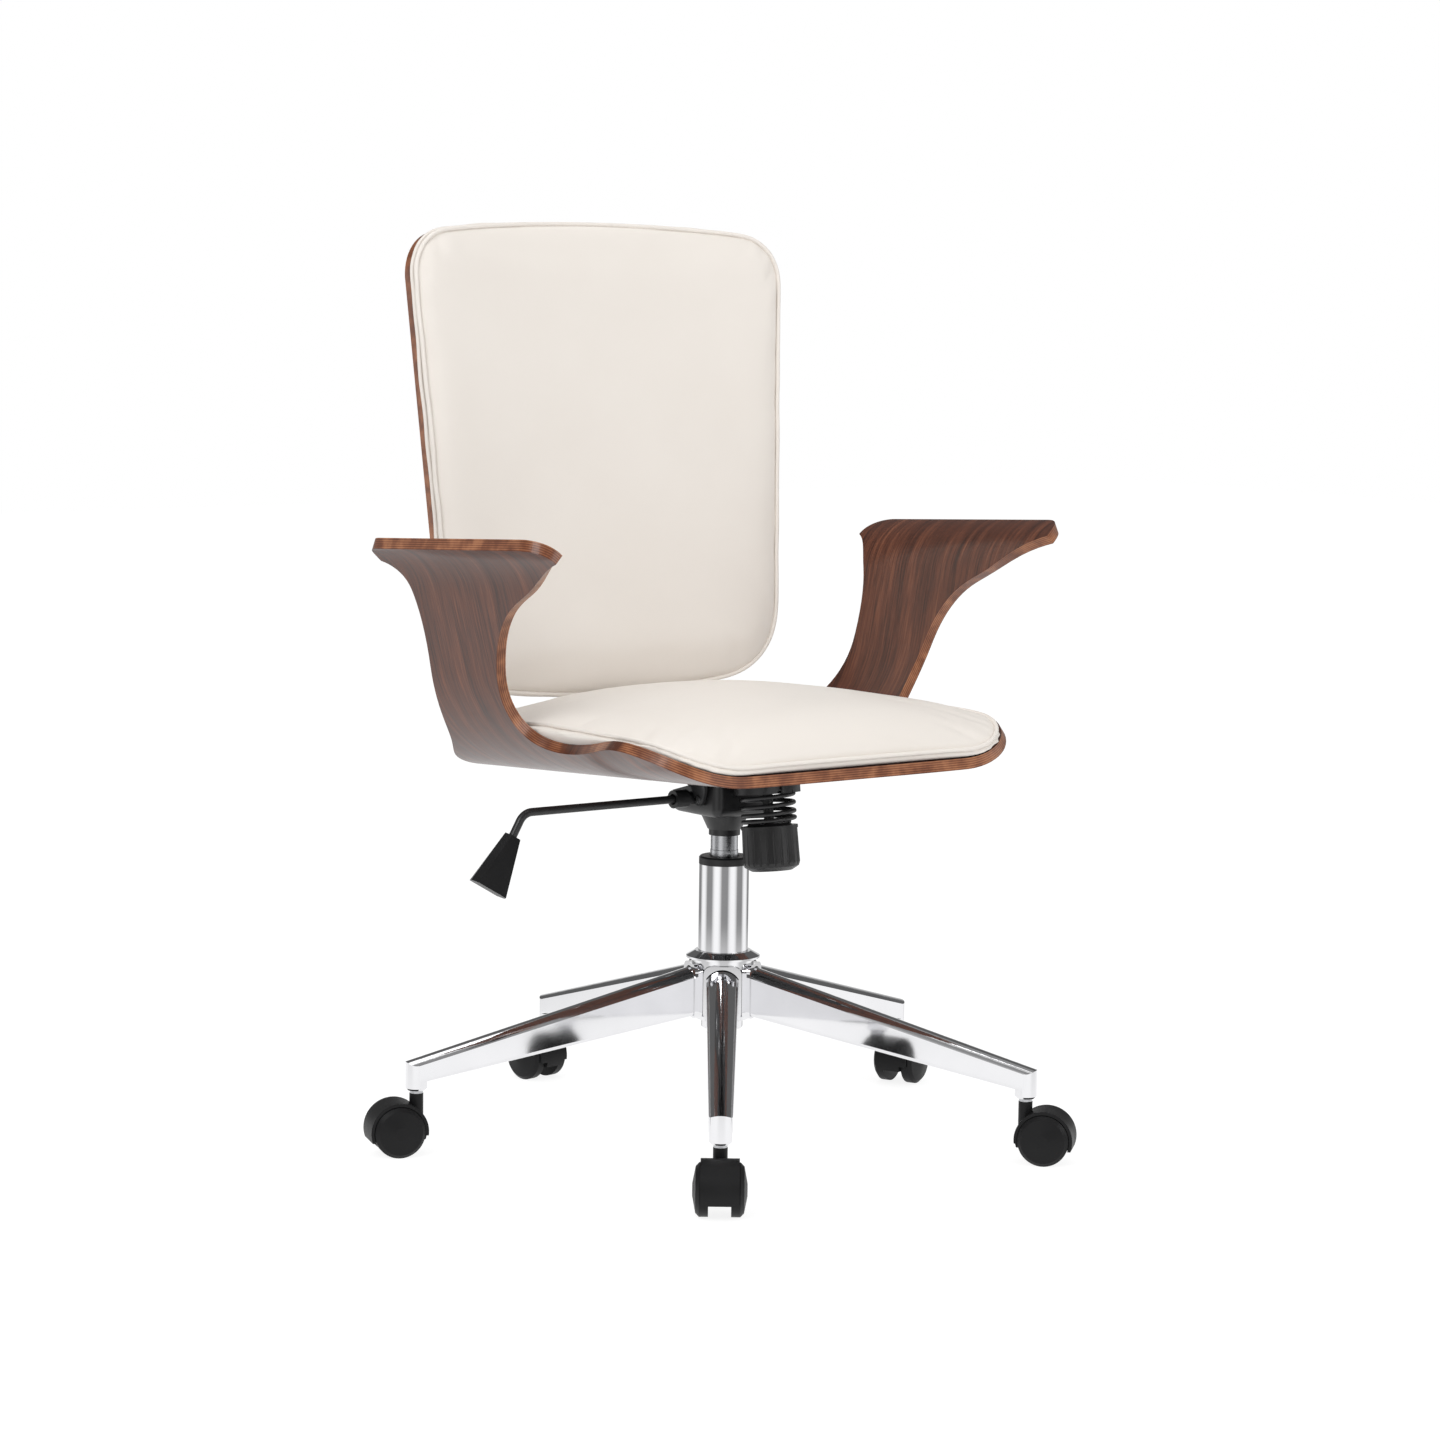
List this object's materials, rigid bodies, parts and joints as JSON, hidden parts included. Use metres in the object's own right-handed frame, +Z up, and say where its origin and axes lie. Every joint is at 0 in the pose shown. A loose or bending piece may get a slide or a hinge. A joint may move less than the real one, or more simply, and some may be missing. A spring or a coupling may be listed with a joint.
{
  "type": "swivel desk chair",
  "caption": "Swivel desk chair: seat and arms bent from one walnut plywood sheet, curved padded back, gas lift, tilt mechanism with tension knob, and a star base on casters.",
  "frame": {"origin": "on the floor under the middle of the chair's overall box; the column's axis stands 29 mm in front of it", "axes": "+Z up, the sitter faces -Y, +X to the sitter's left"},
  "size_m": [0.6985, 0.6691, 0.9121],
  "materials": {
    "chrome": "polished",
    "black_nylon": "satin",
    "steel": "ground",
    "black_plastic": "satin",
    "black_metal": "powder coated",
    "walnut": "lacquered",
    "cream_leatherette": "soft grain",
    "bright_screws": "polished"
  },
  "bodies": {
    "base": {"star_hub": "chrome", "leg_1": "chrome", "leg_2": "chrome", "leg_3": "chrome", "leg_4": "chrome", "leg_5": "chrome", "column_tube": "chrome", "column_bush": "black_plastic", "thrust_bearing": "steel", "caster_1_stem": "steel", "caster_2_stem": "steel", "caster_3_stem": "steel", "caster_4_stem": "steel", "caster_5_stem": "steel"},
    "caster_1": {"caster_1_body": "black_nylon", "caster_1_axle": "steel"},
    "caster_1_wheel_left": {"caster_1_wheel_left": "black_nylon"},
    "caster_1_wheel_right": {"caster_1_wheel_right": "black_nylon"},
    "caster_2": {"caster_2_body": "black_nylon", "caster_2_axle": "steel"},
    "caster_2_wheel_left": {"caster_2_wheel_left": "black_nylon"},
    "caster_2_wheel_right": {"caster_2_wheel_right": "black_nylon"},
    "caster_3": {"caster_3_body": "black_nylon", "caster_3_axle": "steel"},
    "caster_3_wheel_left": {"caster_3_wheel_left": "black_nylon"},
    "caster_3_wheel_right": {"caster_3_wheel_right": "black_nylon"},
    "caster_4": {"caster_4_body": "black_nylon", "caster_4_axle": "steel"},
    "caster_4_wheel_left": {"caster_4_wheel_left": "black_nylon"},
    "caster_4_wheel_right": {"caster_4_wheel_right": "black_nylon"},
    "caster_5": {"caster_5_body": "black_nylon", "caster_5_axle": "steel"},
    "caster_5_wheel_left": {"caster_5_wheel_left": "black_nylon"},
    "caster_5_wheel_right": {"caster_5_wheel_right": "black_nylon"},
    "column_rod": {"piston_rod": "steel", "column_clip": "steel"},
    "carrier": {"gas_cylinder": "steel", "tilt_housing": "black_metal", "tilt_axle": "steel", "lever_sleeve": "black_plastic", "tension_spring": "black_metal"},
    "release_button": {"release_button": "black_plastic"},
    "lever_ball": {"lever_ball": "black_plastic"},
    "lever": {"lever_rod": "black_metal", "lever_grip": "black_plastic"},
    "seat": {"seat_plate": "black_metal", "tension_bolt": "black_metal", "seat_shell": "walnut", "seat_pad": "cream_leatherette", "back_shell": "walnut", "back_pad": "cream_leatherette", "back_bracket": "black_metal", "seat_bolts": "bright_screws", "pad_screws": "bright_screws", "bar_screws": "bright_screws", "back_screws": "bright_screws"},
    "spring_cup": {"spring_cup": "black_plastic"},
    "tension_knob": {"tension_knob": "black_plastic"}
  },
  "joints": [
    {"name": "caster_1_swivel", "type": "hinge", "parent": "base", "child": "caster_1", "pos_m": [-0.18912, -0.27815, 0.045], "axis": [0, 0, 1], "continuous": true},
    {"name": "caster_1_left_spin", "type": "hinge", "parent": "caster_1", "child": "caster_1_wheel_left", "pos_m": [-0.20121, -0.29408, 0.025], "axis": [0.7965, -0.6046, 0], "continuous": true},
    {"name": "caster_1_right_spin", "type": "hinge", "parent": "caster_1", "child": "caster_1_wheel_right", "pos_m": [-0.20121, -0.29408, 0.025], "axis": [0.7965, -0.6046, 0], "continuous": true},
    {"name": "caster_2_swivel", "type": "hinge", "parent": "base", "child": "caster_2", "pos_m": [0.17852, -0.28586, 0.045], "axis": [0, 0, 1], "continuous": true},
    {"name": "caster_2_left_spin", "type": "hinge", "parent": "caster_2", "child": "caster_2_wheel_left", "pos_m": [0.19159, -0.301, 0.025], "axis": [0.757, 0.6534, 0], "continuous": true},
    {"name": "caster_2_right_spin", "type": "hinge", "parent": "caster_2", "child": "caster_2_wheel_right", "pos_m": [0.19159, -0.301, 0.025], "axis": [0.757, 0.6534, 0], "continuous": true},
    {"name": "caster_3_swivel", "type": "hinge", "parent": "base", "child": "caster_3", "pos_m": [0.29945, 0.06141, 0.045], "axis": [0, 0, 1], "continuous": true},
    {"name": "caster_3_left_spin", "type": "hinge", "parent": "caster_3", "child": "caster_3_wheel_left", "pos_m": [0.31761, 0.0698, 0.025], "axis": [-0.4195, 0.9078, 0], "continuous": true},
    {"name": "caster_3_right_spin", "type": "hinge", "parent": "caster_3", "child": "caster_3_wheel_right", "pos_m": [0.31761, 0.0698, 0.025], "axis": [-0.4195, 0.9078, 0], "continuous": true},
    {"name": "caster_4_swivel", "type": "hinge", "parent": "base", "child": "caster_4", "pos_m": [0.00655, 0.28373, 0.045], "axis": [0, 0, 1], "continuous": true},
    {"name": "caster_4_left_spin", "type": "hinge", "parent": "caster_4", "child": "caster_4_wheel_left", "pos_m": [0.00349, 0.3035, 0.025], "axis": [-0.9882, -0.153, 0], "continuous": true},
    {"name": "caster_4_right_spin", "type": "hinge", "parent": "caster_4", "child": "caster_4_wheel_right", "pos_m": [0.00349, 0.3035, 0.025], "axis": [-0.9882, -0.153, 0], "continuous": true},
    {"name": "caster_5_swivel", "type": "hinge", "parent": "base", "child": "caster_5", "pos_m": [-0.2954, 0.07387, 0.045], "axis": [0, 0, 1], "continuous": true},
    {"name": "caster_5_left_spin", "type": "hinge", "parent": "caster_5", "child": "caster_5_wheel_left", "pos_m": [-0.31429, 0.08045, 0.025], "axis": [-0.3289, -0.9444, 0], "continuous": true},
    {"name": "caster_5_right_spin", "type": "hinge", "parent": "caster_5", "child": "caster_5_wheel_right", "pos_m": [-0.31429, 0.08045, 0.025], "axis": [-0.3289, -0.9444, 0], "continuous": true},
    {"name": "seat_swivel", "type": "hinge", "parent": "base", "child": "column_rod", "pos_m": [0, -0.029, 0.2], "axis": [0, 0, 1], "continuous": true},
    {"name": "height_slide", "type": "slide", "parent": "column_rod", "child": "carrier", "axis": [0, 0, 1], "range_m": [-0.016, 0.055]},
    {"name": "release_press", "type": "slide", "parent": "carrier", "child": "release_button", "axis": [0, 0, -1], "range_m": [0, 0.00364], "stiffness_N_per_m": 2000},
    {"name": "lever_lift", "type": "hinge", "parent": "carrier", "child": "lever_ball", "pos_m": [-0.051, -0.026, 0.344], "axis": [0, 1, 0], "range_deg": [0, 4]},
    {"name": "lever_slide", "type": "slide", "parent": "lever_ball", "child": "lever", "axis": [1, 0, 0], "range_m": [0, 0.012]},
    {"name": "seat_tilt", "type": "hinge", "parent": "carrier", "child": "seat", "pos_m": [0, -0.04, 0.344], "axis": [-1, 0, 0], "range_deg": [0, 12], "stiffness_Nm_per_rad": 120, "springref_deg": -8.59, "deforming": ["tension_spring"]},
    {"name": "cup_slide", "type": "slide", "parent": "seat", "child": "spring_cup", "axis": [0, 0.1219, 0.9925], "range_m": [-0.006, 0.006], "deforming": ["tension_spring"]},
    {"name": "knob_turn", "type": "hinge", "parent": "spring_cup", "child": "tension_knob", "pos_m": [0, -0.096, 0.368], "axis": [0, 0.1219, 0.9925], "range_deg": [-1220, 1220]}
  ],
  "couplings": [
    {"joint": "release_press", "follows": "lever_lift", "m_per_rad": 0.051136},
    {"joint": "cup_slide", "follows": "knob_turn", "m_per_rad": 0.00027852}
  ]
}
